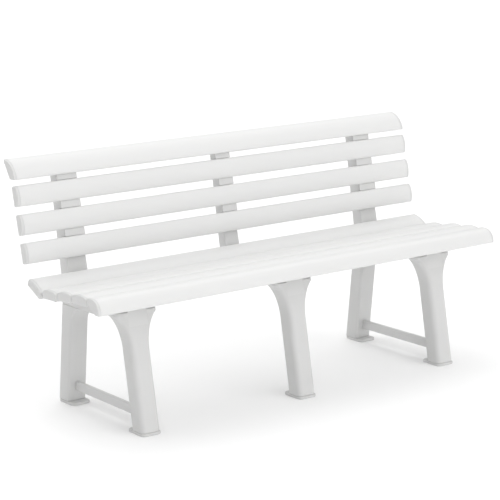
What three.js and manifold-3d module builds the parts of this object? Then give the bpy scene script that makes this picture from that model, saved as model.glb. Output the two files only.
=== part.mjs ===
// Three-seat slatted garden bench in white resin, 1450 x 490 x 740 mm.
// +X runs along the seat, -Y is the front, +Z is up, and the origin is on the ground
// under the middle of the bench. Lengths are millimetres and angles are degrees.
import * as THREE from "three";
import { mergeVertices } from "three/addons/utils/BufferGeometryUtils.js";
import Module from "manifold-3d";

const wasm = await Module();
wasm.setup();

// ---------------------------------------------------------------- driving dimensions
const LENGTH = 1450;
const DEPTH = 490;
const HEIGHT = 740;
const FRONT_Y = -DEPTH / 2;
const REAR_Y = DEPTH / 2;
const FRAME_SPACING = 550;
const GAP = 0.3; // between pieces that touch
const CLEARANCE = 0.5; // between a plug or tenon and its socket
const SINK = 1; // how far one shape runs into another before they are joined

const SLAT = { thickness: 29, wall: 2.2, faceRadius: 9, backRadius: 5, crown: 4 };
const SEAT_SLAT_WIDTH = 74;
const BACK_SLAT_WIDTH = 60;
const BACK_SLAT_PITCH = 81.75;
const FLAT_BACK_SLATS = 3;
const CAP = { depth: 9, rounding: 3, plug: 14 };

// Middle of each flat seat slat in the Y-Z plane, and its tilt with the rear edge up.
const SEAT_SLATS = [
  { y: -142.5, z: 400.5, tilt: -2 },
  { y: -61.5, z: 395.5, tilt: -6 },
  { y: 19.5, z: 384.5, tilt: -2 },
  { y: 101, z: 391.5, tilt: 25 },
];

// Front edge of the seat: a flat lead that turns down through a quarter circle.
const NOSING = { backY: -187, topZ: 415, radius: 38, lipZ: 372, lipWidth: 21, corner: 6, lipCorner: 5 };
// The rib between its two chambers, and the top of the chamber in the lip, as shares of the radius.
const NOSING_RIB = 0.6;
const NOSING_LIP_CHAMBER = 0.55;

// Top rail of the back: it starts along the back's lean, then rolls rearwards.
const CREST = { overhang: 4.5, radius: 66, startZ: 691, backY: 215, backZ: 686, tip: 10, chamfer: 5 };
// Its two chambers: how far each starts behind the lower edge, and the heights they span.
const CREST_LOW_CHAMBER = { setback: 9, height: 15 };
const CREST_HIGH_CHAMBER = { setback: 22, rise: 19, height: 12, behindBack: 11 };

const BACK_LEAN = 11.7;
const BACK_FOOT = { y: 131.6, z: 453.7 }; // lower front edge of the lowest back slat

const LEG = { width: 62, depth: 52, wall: 3.5, frontCorner: 16, rearLegCorner: 8, ceilingZ: 286 };
const FRONT_LEG = { groundY: -191, lean: -9.5 };
const REAR_LEG = { groundY: 217, lean: 7.8 };
const FLARE = { startZ: 232, width: 62, height: 115, tipX: 67, topZ: 345 };
const HAUNCH = { startZ: 240, reach: 55, lip: 3 };
const SPIGOT = { frontY: 156, rearY: 190, height: 30 };

// In front, a bearer's tongue reaches from its knee to the front slat. Behind the front leg its
// underside steps up to heelZ, and then slopes down until heelEndY.
const BEARER = {
  width: LEG.width,
  wall: 3.5,
  bottomZ: 305,
  kneeZ: 356,
  kneeRounding: 9,
  heelZ: 338,
  heelEndY: 10,
  chamfer: 8,
  shoulderY: 133,
  shoulderZ: 346,
};
const LAST_SLAT_REST = 2 / 3; // share of the last seat slat's rear half that a bearer carries
// Hollow bays under a bearer as [front y, rear y, ceiling z], with a rib between each two.
const BEARER_BAYS = [
  [-104, -56, 366],
  [-52, -2, 364],
  [2, 62, 357],
  [66, 128, 357],
];
const REAR_BAY_Y = 146;

// The bearer under a post ends at bearerY.
const END_POST = { width: 66, footDepth: 51, topDepth: 27, bearerY: 200 };
const MIDDLE_POST = { width: 54, footDepth: 40, topDepth: 17, bearerY: 179 };
const POST = { wall: 3.5, topZ: 700, hollowTopZ: 655, rounding: 5, tenonTopZ: 440 };
// The teeth of a post fill the spaces between the back slats, this far behind their faces.
const TOOTH = { behind: 15, rounding: 3 };

const FOOT = { length: 84, thickness: 8, corner: 14, overhang: 28, plug: 26, extraWidth: 2 };
const STRETCHER = { z: 54, height: 29, thickness: 12, corner: 3, tenon: 12 };

const BOLT = { y: -140, radius: 4, headRadius: 8, headHeight: 5, headZ: 376, length: 108 };
const NUT = { radius: 7.5, height: 6.5 };
const SCREW = { radius: 2.5, headRadius: 6, headHeight: 3.5, length: 27 };
const HOLE_CLEARANCE = 0.7;
const POST_SCREW_HEIGHTS = [372, 412];
const REAR_LEG_SCREW_Z = 322;

// ---------------------------------------------------------------- materials
function plastic(colour, roughness) {
  return new THREE.MeshStandardMaterial({ color: colour, roughness, metalness: 0 });
}
const SLAT_PLASTIC = plastic(0xf1f1ef, 0.42);
const CAP_PLASTIC = plastic(0xefefed, 0.45);
const FRAME_PLASTIC = plastic(0xebebe9, 0.48);
const FOOT_PLASTIC = plastic(0xe6e6e4, 0.6);
const STEEL = new THREE.MeshStandardMaterial({ color: 0xb9bcc0, roughness: 0.35, metalness: 1 });

// ---------------------------------------------------------------- solids
const WELD = 1e-3;
const SHORTEST_SIDE = 0.05;
const FAR = 1000;
const rad = THREE.MathUtils.degToRad;

function toSolid(geometry) {
  const bare = geometry.index ? geometry.toNonIndexed() : geometry.clone();
  bare.deleteAttribute("normal");
  bare.deleteAttribute("uv");
  const merged = mergeVertices(bare, WELD);
  const triVerts = new Uint32Array(merged.index.array);
  const vertProperties = merged.attributes.position.array;
  return new wasm.Manifold(new wasm.Mesh({ numProp: 3, vertProperties, triVerts }));
}

function toMesh(name, solid, material) {
  const cut = solid.getMesh();
  const geometry = new THREE.BufferGeometry();
  geometry.setAttribute("position", new THREE.BufferAttribute(cut.vertProperties, cut.numProp));
  geometry.setIndex(new THREE.BufferAttribute(cut.triVerts, 1));
  geometry.computeVertexNormals();
  const mesh = new THREE.Mesh(geometry, material);
  mesh.name = name;
  return mesh;
}

function block(x0, x1, y0, y1, z0, z1) {
  const box = new THREE.BoxGeometry(x1 - x0, y1 - y0, z1 - z0);
  return toSolid(box.translate((x0 + x1) / 2, (y0 + y1) / 2, (z0 + z1) / 2));
}

function everythingAbove(z) {
  return block(-FAR, FAR, -FAR, FAR, z, FAR);
}

function everythingBelow(z) {
  return block(-FAR, FAR, -FAR, FAR, -FAR, z);
}

function polygon(points) {
  return new THREE.Shape(points.map(([a, b]) => new THREE.Vector2(a, b)));
}

function rectangle(a0, a1, b0, b1) {
  return polygon([[a0, b0], [a1, b0], [a1, b1], [a0, b1]]);
}

function roundedRectangle(width, height, radius) {
  const a = width / 2 - radius;
  const b = height / 2 - radius;
  const shape = new THREE.Shape();
  shape.absarc(a, -b, radius, -Math.PI / 2, 0);
  shape.absarc(a, b, radius, 0, Math.PI / 2);
  shape.absarc(-a, b, radius, Math.PI / 2, Math.PI);
  shape.absarc(-a, -b, radius, Math.PI, 1.5 * Math.PI);
  return shape;
}

// A closed outline as distinct points, with its curves cut into short straight sides.
function facetted(shape, segments) {
  const points = shape.getPoints(segments);
  const apart = (p, i) => p.distanceTo(points[(i + 1) % points.length]) > SHORTEST_SIDE;
  return new THREE.Shape(points.filter(apart));
}

// An outline pushed from 0 to depth, with both of its rims rounded over when bevel is set.
function extruded(shape, depth, { bevel = 0, segments = 2 }) {
  const body = new THREE.ExtrudeGeometry(facetted(shape, segments), {
    depth: depth - 2 * bevel,
    bevelEnabled: bevel > 0,
    bevelThickness: bevel,
    bevelSize: bevel,
    bevelOffset: -bevel,
    bevelSegments: 2,
  });
  return body.translate(0, 0, bevel);
}

// An outline drawn in (Y, Z), pushed along X from x0 to x1.
function prismX(shape, x0, x1, options = {}) {
  const toWorld = new THREE.Matrix4().makeBasis(
    new THREE.Vector3(0, 1, 0),
    new THREE.Vector3(0, 0, 1),
    new THREE.Vector3(1, 0, 0),
  );
  const body = extruded(shape, x1 - x0, options).applyMatrix4(toWorld);
  return toSolid(body.translate(x0, 0, 0));
}

// An outline drawn in (X, Z), pushed along Y from y0 to y1.
function prismY(shape, y0, y1, options = {}) {
  const toWorld = new THREE.Matrix4().makeBasis(
    new THREE.Vector3(1, 0, 0),
    new THREE.Vector3(0, 0, 1),
    new THREE.Vector3(0, -1, 0),
  );
  const body = extruded(shape, y1 - y0, options).applyMatrix4(toWorld);
  return toSolid(body.translate(0, y1, 0));
}

// ---------------------------------------------------------------- slat profiles
// Each profile holds its outline and its chambers as [a0, a1, b0, b1], in one (a, b) plane.
function flatProfile(width, chamberCount) {
  const half = width / 2;
  const bottom = -SLAT.thickness / 2;
  const shoulder = SLAT.thickness / 2 - SLAT.crown;
  const face = SLAT.faceRadius;
  const back = SLAT.backRadius;
  const outline = new THREE.Shape();
  outline.absarc(half - back, bottom + back, back, -Math.PI / 2, 0);
  outline.absarc(half - face, shoulder - face, face, 0, Math.PI / 2);
  outline.quadraticCurveTo(0, shoulder + 2 * SLAT.crown, face - half, shoulder);
  outline.absarc(face - half, shoulder - face, face, Math.PI / 2, Math.PI);
  outline.absarc(back - half, bottom + back, back, Math.PI, 1.5 * Math.PI);
  const inner = half - SLAT.wall - SLAT.backRadius;
  const pitch = (2 * inner + SLAT.wall) / chamberCount;
  const chambers = [];
  for (let i = 0; i < chamberCount; i++) {
    const a0 = -inner + i * pitch;
    chambers.push([a0, a0 + pitch - SLAT.wall, bottom + SLAT.wall, shoulder - SLAT.wall]);
  }
  return { outline, chambers };
}

function nosingProfile() {
  const { backY, topZ, radius, lipZ, lipWidth, corner, lipCorner } = NOSING;
  const bottomZ = nosingBottomZ();
  const outline = new THREE.Shape();
  outline.absarc(backY - corner, topZ - corner, corner, 0, Math.PI / 2);
  outline.absarc(FRONT_Y + radius, topZ - radius, radius, Math.PI / 2, Math.PI);
  outline.absarc(FRONT_Y + lipCorner, lipZ + lipCorner, lipCorner, Math.PI, 1.5 * Math.PI);
  outline.lineTo(FRONT_Y + lipWidth, lipZ);
  outline.lineTo(backY - corner, bottomZ);
  outline.lineTo(backY, bottomZ + corner);
  const ribY = FRONT_Y + NOSING_RIB * radius;
  const wall = SLAT.wall;
  const chambers = [
    [ribY + wall, backY - corner - wall, bottomZ + wall, topZ - 2 * wall],
    [FRONT_Y + 2.5 * wall, ribY, lipZ + 2 * wall, lipZ + NOSING_LIP_CHAMBER * radius],
  ];
  return { outline, chambers };
}

function nosingBottomZ() {
  return NOSING.topZ - SLAT.thickness + SLAT.wall;
}

// Upper end of the crest's flat back, just below its tip.
function crestBackTop() {
  return { y: REAR_Y - CREST.chamfer, z: HEIGHT - CREST.tip - CREST.chamfer };
}

function crestProfile() {
  const { overhang, radius, startZ, backY, backZ, tip, chamfer } = CREST;
  const centreY = REAR_Y + overhang;
  const centreZ = HEIGHT - Math.sqrt(radius ** 2 - overhang ** 2);
  const startAngle = Math.PI - Math.asin((startZ - centreZ) / radius);
  const endAngle = Math.PI / 2 + Math.asin(overhang / radius);
  const top = crestBackTop();
  const startY = centreY + radius * Math.cos(startAngle);
  const outline = new THREE.Shape();
  outline.moveTo(backY, backZ);
  outline.lineTo(top.y, top.z);
  outline.lineTo(REAR_Y, HEIGHT - tip);
  outline.absarc(centreY, centreZ, radius, endAngle, startAngle);
  outline.lineTo(startY + chamfer, backZ);
  const low = CREST_LOW_CHAMBER;
  const high = CREST_HIGH_CHAMBER;
  const highZ = startZ + high.rise;
  const chambers = [
    [startY + low.setback, backY, startZ, startZ + low.height],
    [startY + high.setback, backY + high.behindBack, highZ, highZ + high.height],
  ];
  return { outline, chambers };
}

// ---------------------------------------------------------------- slats and their caps
function slatTube(profile) {
  const half = LENGTH / 2 - CAP.depth - GAP;
  let tube = prismX(profile.outline, -half, half);
  for (const [a0, a1, b0, b1] of profile.chambers) {
    tube = tube.subtract(prismX(rectangle(a0, a1, b0, b1), -FAR, FAR));
  }
  return tube;
}

// The cap on the +X end: a plate with a rounded rim, and a plug in each outer chamber.
function slatCap(profile) {
  const outer = LENGTH / 2;
  const face = outer - CAP.depth;
  const domed = prismX(profile.outline, face - CAP.rounding, outer, { bevel: CAP.rounding });
  let cap = domed.intersect(block(face, outer, -FAR, FAR, -FAR, FAR));
  for (const [a0, a1, b0, b1] of [profile.chambers[0], profile.chambers.at(-1)]) {
    const plug = rectangle(a0 + CLEARANCE, a1 - CLEARANCE, b0 + CLEARANCE, b1 - CLEARANCE);
    cap = cap.add(prismX(plug, face - CAP.plug, face + SINK));
  }
  return cap;
}

// A tube and its two caps, tilted in the Y-Z plane and set at (y, z).
function addSlat(bench, name, profile, place) {
  const group = new THREE.Group();
  group.position.set(0, place.y, place.z);
  group.rotation.x = rad(place.tilt);
  const cap = slatCap(profile);
  group.add(toMesh(name, slatTube(profile), SLAT_PLASTIC));
  group.add(toMesh(name + "_cap_right", cap, CAP_PLASTIC));
  group.add(toMesh(name + "_cap_left", cap.mirror([1, 0, 0]), CAP_PLASTIC));
  bench.add(group);
}

// The (Y, Z) point a distance up the lean of the back and behind the faces of its slats.
function onBack(along, behind) {
  const lean = rad(BACK_LEAN);
  return [
    BACK_FOOT.y + along * Math.sin(lean) + behind * Math.cos(lean),
    BACK_FOOT.z + along * Math.cos(lean) - behind * Math.sin(lean),
  ];
}

// Middle of a flat back slat, counted from the lowest; its crowned face looks forwards.
function backSlatPlace(index) {
  const [y, z] = onBack(BACK_SLAT_WIDTH / 2 + index * BACK_SLAT_PITCH, SLAT.thickness / 2);
  return { y, z, tilt: 90 - BACK_LEAN };
}

function addSlats(bench) {
  const asDrawn = { y: 0, z: 0, tilt: 0 };
  const seatProfile = flatProfile(SEAT_SLAT_WIDTH, 3);
  const backProfile = flatProfile(BACK_SLAT_WIDTH, 2);
  addSlat(bench, "seat_slat_1", nosingProfile(), asDrawn);
  SEAT_SLATS.forEach((place, i) => addSlat(bench, "seat_slat_" + (i + 2), seatProfile, place));
  for (let i = 0; i < FLAT_BACK_SLATS; i++) {
    addSlat(bench, "back_slat_" + (i + 1), backProfile, backSlatPlace(i));
  }
  addSlat(bench, "back_slat_" + (FLAT_BACK_SLATS + 1), crestProfile(), asDrawn);
}

// ---------------------------------------------------------------- fasteners
// A round solid on the +Y axis from its profile as [radius, y] points, lowest y first.
function turned(points) {
  const sides = 8;
  const profile = points.map(([r, y]) => new THREE.Vector2(r, y));
  return toSolid(new THREE.LatheGeometry(profile, sides));
}

// Head above y = 0 and shank below it; extra widens both to make the hole for it.
function fastener({ radius, headRadius, headHeight, length }, extra = 0) {
  return turned([
    [0, -length - extra],
    [radius + extra, -length - extra],
    [radius + extra, -extra],
    [headRadius + extra, -extra],
    [headRadius + extra, headHeight + extra],
    [0, headHeight + extra],
  ]);
}

// A solid turned about the X axis, then moved to (x, y, z).
function placed(solid, x, y, z, tilt) {
  const matrix = new THREE.Matrix4().makeRotationX(rad(tilt));
  matrix.setPosition(x, y, z);
  return solid.transform(matrix.elements);
}

function legBolt(x, extra = 0) {
  return placed(fastener(BOLT, extra), x, BOLT.y, BOLT.headZ, 90);
}

// A hexagon nut up inside a leg, against its ceiling.
function legNut(x) {
  const sides = 6;
  const blank = new THREE.CylinderGeometry(NUT.radius, NUT.radius, NUT.height, sides);
  const z = LEG.ceilingZ - GAP - NUT.height / 2;
  return placed(toSolid(blank), x, BOLT.y, z, 90).subtract(legBolt(x, HOLE_CLEARANCE));
}

function rearLegScrew(x, extra = 0) {
  return placed(fastener(SCREW, extra), x, END_POST.bearerY + GAP, REAR_LEG_SCREW_Z, 0);
}

// A screw square to the post's rear face, at height z.
function postScrew(post, x, z, extra = 0) {
  const slope = (postRearY(post, z + 1) - postRearY(post, z - 1)) / 2;
  const tilt = -THREE.MathUtils.radToDeg(Math.atan(slope));
  return placed(fastener(SCREW, extra), x, postRearY(post, z) + GAP, z, tilt);
}

// ---------------------------------------------------------------- back posts
function postFrontY(z) {
  const lean = rad(BACK_LEAN);
  return BACK_FOOT.y + (z - BACK_FOOT.z) * Math.tan(lean) + (SLAT.thickness + GAP) / Math.cos(lean);
}

function postRearY(post, z) {
  const share = (z - BEARER.shoulderZ) / (POST.topZ - BEARER.shoulderZ);
  return postFrontY(z) + THREE.MathUtils.lerp(post.footDepth, post.topDepth, share);
}

// The part of a post between two heights, drawn in (Y, Z) and set in by inset.
function postOutline(post, z0, z1, inset) {
  return polygon([
    [postFrontY(z0) + inset, z0],
    [postRearY(post, z0) - inset, z0],
    [postRearY(post, z1) - inset, z1],
    [postFrontY(z1) + inset, z1],
  ]);
}

// Everything in front of the crest's flat back, which the top of a post lies against.
function crestSide() {
  const { backY, backZ } = CREST;
  const top = crestBackTop();
  const slope = (top.y - backY) / (top.z - backZ);
  const lowY = backY + GAP;
  const highY = lowY + (HEIGHT - backZ) * slope;
  return polygon([[0, backZ - GAP], [lowY, backZ - GAP], [highY, HEIGHT], [0, HEIGHT]]);
}

// The tooth above a back slat, or the hollow inside it when inset by a wall.
function tooth(index, x, half, inset, bevel) {
  const low = BACK_SLAT_WIDTH + index * BACK_SLAT_PITCH + GAP + inset;
  const high = (index + 1) * BACK_SLAT_PITCH - GAP - inset;
  const front = TOOTH.behind + inset;
  const rear = SLAT.thickness + GAP + POST.rounding + TOOTH.rounding;
  const corners = [onBack(low, front), onBack(low, rear), onBack(high, rear), onBack(high, front)];
  return prismX(polygon(corners), x - half + inset, x + half - inset, { bevel });
}

function backPost(post, x) {
  const half = post.width / 2;
  const inner = half - POST.wall;
  const { shoulderZ } = BEARER;
  const outer = postOutline(post, shoulderZ + GAP, POST.topZ, 0);
  const hollow = postOutline(post, shoulderZ - POST.wall, POST.hollowTopZ, POST.wall);
  let solid = prismX(outer, x - half, x + half, { bevel: POST.rounding });
  for (let i = 0; i < FLAT_BACK_SLATS; i++) {
    solid = solid.add(tooth(i, x, half, 0, TOOTH.rounding));
  }
  solid = solid.subtract(prismX(hollow, x - inner, x + inner));
  for (let i = 0; i < FLAT_BACK_SLATS - 1; i++) {
    solid = solid.subtract(tooth(i, x, half, POST.wall, 0));
  }
  solid = solid.subtract(prismX(crestSide(), -FAR, FAR));
  for (const z of POST_SCREW_HEIGHTS) {
    solid = solid.subtract(postScrew(post, x, z, HOLE_CLEARANCE));
  }
  return solid;
}

// ---------------------------------------------------------------- seat bearers
// Underside of a flat seat slat at a distance across its width, dropped by the gap.
function slatUnderside({ y, z, tilt }, across) {
  const t = rad(tilt);
  const below = SLAT.thickness / 2 + GAP;
  return [
    y + across * Math.cos(t) + below * Math.sin(t),
    z + across * Math.sin(t) - below * Math.cos(t),
  ];
}

// Y of the front face of a front leg at a height, or of the surface that far behind it.
function frontLegFaceY(z, behind = 0) {
  const lean = rad(FRONT_LEG.lean);
  return FRONT_LEG.groundY - z * Math.tan(lean) + (behind - LEG.depth / 2) / Math.cos(lean);
}

// Side view: a block between the cheeks of the front leg, a tongue in front, a sloping
// underside behind, and a top that follows the slats.
function bearerOutline(rearY) {
  const { bottomZ, kneeZ, kneeRounding, heelZ, heelEndY, chamfer, shoulderY, shoulderZ } = BEARER;
  const half = SEAT_SLAT_WIDTH / 2;
  const tongue = { y: FRONT_Y + NOSING.lipWidth, z: NOSING.lipZ - GAP };
  const kneeY = frontLegFaceY(kneeZ);
  const slope = (tongue.z - kneeZ) / (kneeY - tongue.y);
  const bendZ = kneeZ - kneeRounding;
  const shape = new THREE.Shape();
  shape.moveTo(frontLegFaceY(bottomZ), bottomZ);
  shape.lineTo(frontLegFaceY(bottomZ, LEG.depth), bottomZ);
  shape.lineTo(frontLegFaceY(heelZ, LEG.depth), heelZ);
  shape.lineTo(heelEndY, bottomZ);
  shape.lineTo(rearY, bottomZ);
  shape.lineTo(rearY, shoulderZ - chamfer);
  shape.lineTo(rearY - chamfer, shoulderZ);
  shape.lineTo(shoulderY, shoulderZ);
  const last = SEAT_SLATS.length - 1;
  for (let i = last; i >= 0; i--) {
    const rear = i === last ? half * LAST_SLAT_REST : half;
    shape.lineTo(...slatUnderside(SEAT_SLATS[i], rear));
    shape.lineTo(...slatUnderside(SEAT_SLATS[i], -half));
  }
  shape.lineTo(NOSING.backY - NOSING.corner, nosingBottomZ() - GAP);
  shape.lineTo(tongue.y, tongue.z);
  shape.lineTo(kneeY - kneeRounding, kneeZ + slope * kneeRounding);
  shape.quadraticCurveTo(kneeY, kneeZ, frontLegFaceY(bendZ), bendZ);
  return shape;
}

function seatBearer(post, x) {
  const half = BEARER.width / 2;
  const inner = half - BEARER.wall;
  let solid = prismX(bearerOutline(post.bearerY), x - half, x + half, { segments: 3 });
  const lastBay = [REAR_BAY_Y, post.bearerY - 1.5 * BEARER.wall, BEARER.shoulderZ - BEARER.wall];
  for (const [frontY, rearY, ceilingZ] of [...BEARER_BAYS, lastBay]) {
    solid = solid.subtract(block(x - inner, x + inner, frontY, rearY, 0, ceilingZ));
  }
  const tenonHalf = Math.min(post.width / 2 - POST.wall - CLEARANCE, half);
  const tenon = postOutline(post, BEARER.shoulderZ - SINK, POST.tenonTopZ, POST.wall + CLEARANCE);
  solid = solid.add(prismX(tenon, x - tenonHalf, x + tenonHalf));
  for (const z of POST_SCREW_HEIGHTS) {
    solid = solid.subtract(postScrew(post, x, z, HOLE_CLEARANCE));
  }
  const headroom = block(x - BOLT.headRadius - SINK, x + BOLT.headRadius + SINK,
    BOLT.y - BOLT.headRadius - SINK, BOLT.y + BOLT.headRadius + SINK, BOLT.headZ - GAP, HEIGHT);
  return solid.subtract(headroom).subtract(legBolt(x, HOLE_CLEARANCE));
}

// ---------------------------------------------------------------- legs, feet and stretchers
function leanLeg(solid, leg, x) {
  return placed(solid, x, leg.groundY, 0, leg.lean);
}

// Y of a leg's axis at a height, and half of its depth measured along Y.
function legAxisY(leg, z) {
  return leg.groundY - z * Math.tan(rad(leg.lean));
}

function legHalfDepth(leg) {
  return LEG.depth / 2 / Math.cos(rad(leg.lean));
}

// The inside of a leg up to a height on its own axis, smaller all round by the clearance.
function legCore(clearance, top) {
  const a = LEG.width / 2 - LEG.wall - clearance;
  const b = LEG.depth / 2 - LEG.wall - clearance;
  const c = LEG.frontCorner - LEG.wall;
  const section = polygon([[c - a, -b], [a - c, -b], [a, c - b], [a, b], [-a, b], [-a, c - b]]);
  return toSolid(extruded(section, top + FAR, {}).translate(0, 0, -FAR));
}

function legHollow(leg, x) {
  return leanLeg(legCore(0, HEIGHT), leg, x).subtract(everythingAbove(LEG.ceilingZ));
}

// Front view of a front leg: straight sides that flare like a trumpet. The stretch lengthens
// it along a leaning axis.
function frontLegOutline(stretch) {
  const half = LEG.width / 2;
  const centreX = half + FLARE.width;
  const startZ = FLARE.startZ * stretch;
  const height = FLARE.height * stretch;
  const tipAngle = Math.acos((centreX - FLARE.tipX) / FLARE.width);
  const topZ = FLARE.topZ + LEG.depth;
  const shape = new THREE.Shape();
  shape.moveTo(-half, -LEG.depth);
  shape.lineTo(half, -LEG.depth);
  shape.absellipse(centreX, startZ, FLARE.width, height, Math.PI, Math.PI - tipAngle, true);
  shape.lineTo(FLARE.tipX, topZ);
  shape.lineTo(-FLARE.tipX, topZ);
  shape.absellipse(-centreX, startZ, FLARE.width, height, tipAngle, 0, true);
  return shape;
}

function frontLeg(x) {
  const half = LEG.depth / 2;
  const corner = LEG.frontCorner;
  const stretch = 1 / Math.cos(rad(FRONT_LEG.lean));
  const blank = prismY(frontLegOutline(stretch), -half, half + corner, { bevel: corner, segments: 4 });
  const upright = blank.subtract(block(-FAR, FAR, half, FAR, -FAR, FAR));
  const saddle = BEARER.width / 2 + GAP;
  return leanLeg(upright, FRONT_LEG, x)
    .subtract(legHollow(FRONT_LEG, x))
    .subtract(everythingBelow(FOOT.thickness + GAP))
    .subtract(everythingAbove(FLARE.topZ))
    .subtract(block(x - saddle, x + saddle, -FAR, FAR, BEARER.bottomZ - GAP, FAR))
    .subtract(legBolt(x, HOLE_CLEARANCE));
}

// Side view of a rear leg: it leans back, and a haunch reaches forwards under the bearer.
function rearLegOutline(topZ) {
  const { startZ, reach, lip } = HAUNCH;
  const deep = legHalfDepth(REAR_LEG);
  const startY = legAxisY(REAR_LEG, startZ) - deep;
  const lowZ = -LEG.depth;
  const highZ = topZ + LEG.depth;
  const shape = new THREE.Shape();
  shape.moveTo(legAxisY(REAR_LEG, lowZ) + deep, lowZ);
  shape.lineTo(legAxisY(REAR_LEG, highZ) + deep, highZ);
  shape.lineTo(startY - reach, highZ);
  shape.absellipse(startY - reach, startZ, reach, topZ - startZ - lip, Math.PI / 2, 0, true);
  shape.lineTo(legAxisY(REAR_LEG, lowZ) - deep, lowZ);
  return shape;
}

function rearLeg(x) {
  const half = LEG.width / 2;
  const topZ = BEARER.bottomZ - GAP;
  const blank = prismX(rearLegOutline(topZ), x - half, x + half, { bevel: LEG.rearLegCorner, segments: 3 });
  const inner = half - BEARER.wall - CLEARANCE;
  const spigot = block(x - inner, x + inner, SPIGOT.frontY, SPIGOT.rearY, topZ - SINK, topZ + SPIGOT.height);
  return blank
    .subtract(legHollow(REAR_LEG, x))
    .subtract(everythingBelow(FOOT.thickness + GAP))
    .subtract(everythingAbove(topZ))
    .add(spigot)
    .subtract(rearLegScrew(x, HOLE_CLEARANCE));
}

// A thin plate on the ground that reaches in under the seat, with a plug up into the leg.
function foot(leg, x) {
  const side = Math.sign(leg.groundY);
  const centreY = leg.groundY + side * (FOOT.overhang - FOOT.length / 2);
  const outline = roundedRectangle(LEG.width + FOOT.extraWidth, FOOT.length, FOOT.corner);
  const plate = toSolid(extruded(outline, FOOT.thickness, {}).translate(x, centreY, 0));
  const plug = leanLeg(legCore(CLEARANCE, FOOT.thickness + FOOT.plug), leg, x);
  return plate.add(plug.subtract(everythingBelow(FOOT.thickness - SINK)));
}

// A bar between the front and rear legs, grown by extra to cut the slots for its tenons.
function stretcher(x, extra = 0) {
  const { z, height, thickness, corner, tenon } = STRETCHER;
  const frontY = legAxisY(FRONT_LEG, z) + legHalfDepth(FRONT_LEG) - tenon - extra;
  const rearY = legAxisY(REAR_LEG, z) - legHalfDepth(REAR_LEG) + tenon + extra;
  const section = roundedRectangle(thickness + 2 * extra, height + 2 * extra, corner);
  const bar = prismY(section, frontY, rearY);
  return bar.translate([x, 0, z]);
}

// ---------------------------------------------------------------- assembly
const FRAMES = [
  { side: "left", x: -FRAME_SPACING, post: END_POST, hasRearLeg: true },
  { side: "middle", x: 0, post: MIDDLE_POST, hasRearLeg: false },
  { side: "right", x: FRAME_SPACING, post: END_POST, hasRearLeg: true },
];

function addFrame(bench, { side, x, post, hasRearLeg }) {
  const add = (name, solid, material) => bench.add(toMesh(name + "_" + side, solid, material));
  let front = frontLeg(x);
  let bearer = seatBearer(post, x);
  if (hasRearLeg) {
    const slots = stretcher(x, GAP);
    front = front.subtract(slots);
    bearer = bearer.subtract(rearLegScrew(x, HOLE_CLEARANCE));
    add("rear_leg", rearLeg(x).subtract(slots), FRAME_PLASTIC);
    add("rear_foot", foot(REAR_LEG, x), FOOT_PLASTIC);
    add("stretcher", stretcher(x), FRAME_PLASTIC);
    add("rear_leg_screw", rearLegScrew(x), STEEL);
  }
  add("front_leg", front, FRAME_PLASTIC);
  add("front_foot", foot(FRONT_LEG, x), FOOT_PLASTIC);
  add("seat_bearer", bearer, FRAME_PLASTIC);
  add("back_post", backPost(post, x), FRAME_PLASTIC);
  add("leg_bolt", legBolt(x), STEEL);
  add("leg_nut", legNut(x), STEEL);
  POST_SCREW_HEIGHTS.forEach((z, i) => add("post_screw_" + (i + 1), postScrew(post, x, z), STEEL));
}

const bench = new THREE.Group();
addSlats(bench);
for (const frame of FRAMES) {
  addFrame(bench, frame);
}

export default bench;
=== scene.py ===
"""Looks of a three-seat slatted garden bench in white resin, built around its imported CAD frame.

+X runs along the seat, -Y is the front and +Z is up. Shapes are drawn in millimetres and
turned into metres when a mesh is made.
"""

import math

import bmesh
import bpy
from mathutils import Matrix, Vector


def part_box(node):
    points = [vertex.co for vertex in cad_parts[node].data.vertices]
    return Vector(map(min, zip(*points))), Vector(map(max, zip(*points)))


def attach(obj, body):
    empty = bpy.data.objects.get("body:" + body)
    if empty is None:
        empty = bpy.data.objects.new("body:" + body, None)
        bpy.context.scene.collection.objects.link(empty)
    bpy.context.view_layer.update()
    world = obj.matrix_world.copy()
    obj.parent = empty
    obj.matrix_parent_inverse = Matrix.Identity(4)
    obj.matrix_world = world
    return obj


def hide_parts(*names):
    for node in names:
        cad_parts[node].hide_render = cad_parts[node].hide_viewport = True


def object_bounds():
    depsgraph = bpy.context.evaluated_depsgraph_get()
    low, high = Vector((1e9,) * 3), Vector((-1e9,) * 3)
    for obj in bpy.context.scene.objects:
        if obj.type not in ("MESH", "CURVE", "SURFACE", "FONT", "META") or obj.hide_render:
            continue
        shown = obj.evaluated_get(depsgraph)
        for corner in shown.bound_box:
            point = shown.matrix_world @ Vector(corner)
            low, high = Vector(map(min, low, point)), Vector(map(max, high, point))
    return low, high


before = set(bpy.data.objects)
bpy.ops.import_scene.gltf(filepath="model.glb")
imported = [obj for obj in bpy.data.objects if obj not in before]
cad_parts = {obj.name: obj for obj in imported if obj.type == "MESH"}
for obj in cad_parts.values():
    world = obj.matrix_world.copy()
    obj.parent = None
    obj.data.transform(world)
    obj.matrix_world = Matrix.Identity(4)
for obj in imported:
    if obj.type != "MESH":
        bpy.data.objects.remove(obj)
cad_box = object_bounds()

MM = 0.001
SHARP_ANGLE = 38
WELD_DISTANCE = 0.005

# ---------------------------------------------------------------- sizes from the frame


def box(node):
    """A CAD node's lowest and highest corners in millimetres."""
    low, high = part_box(node)
    return low / MM, high / MM


def middle(node, axis):
    low, high = box(node)
    return (low[axis] + high[axis]) / 2


def size(node, axis):
    low, high = box(node)
    return high[axis] - low[axis]


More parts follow.
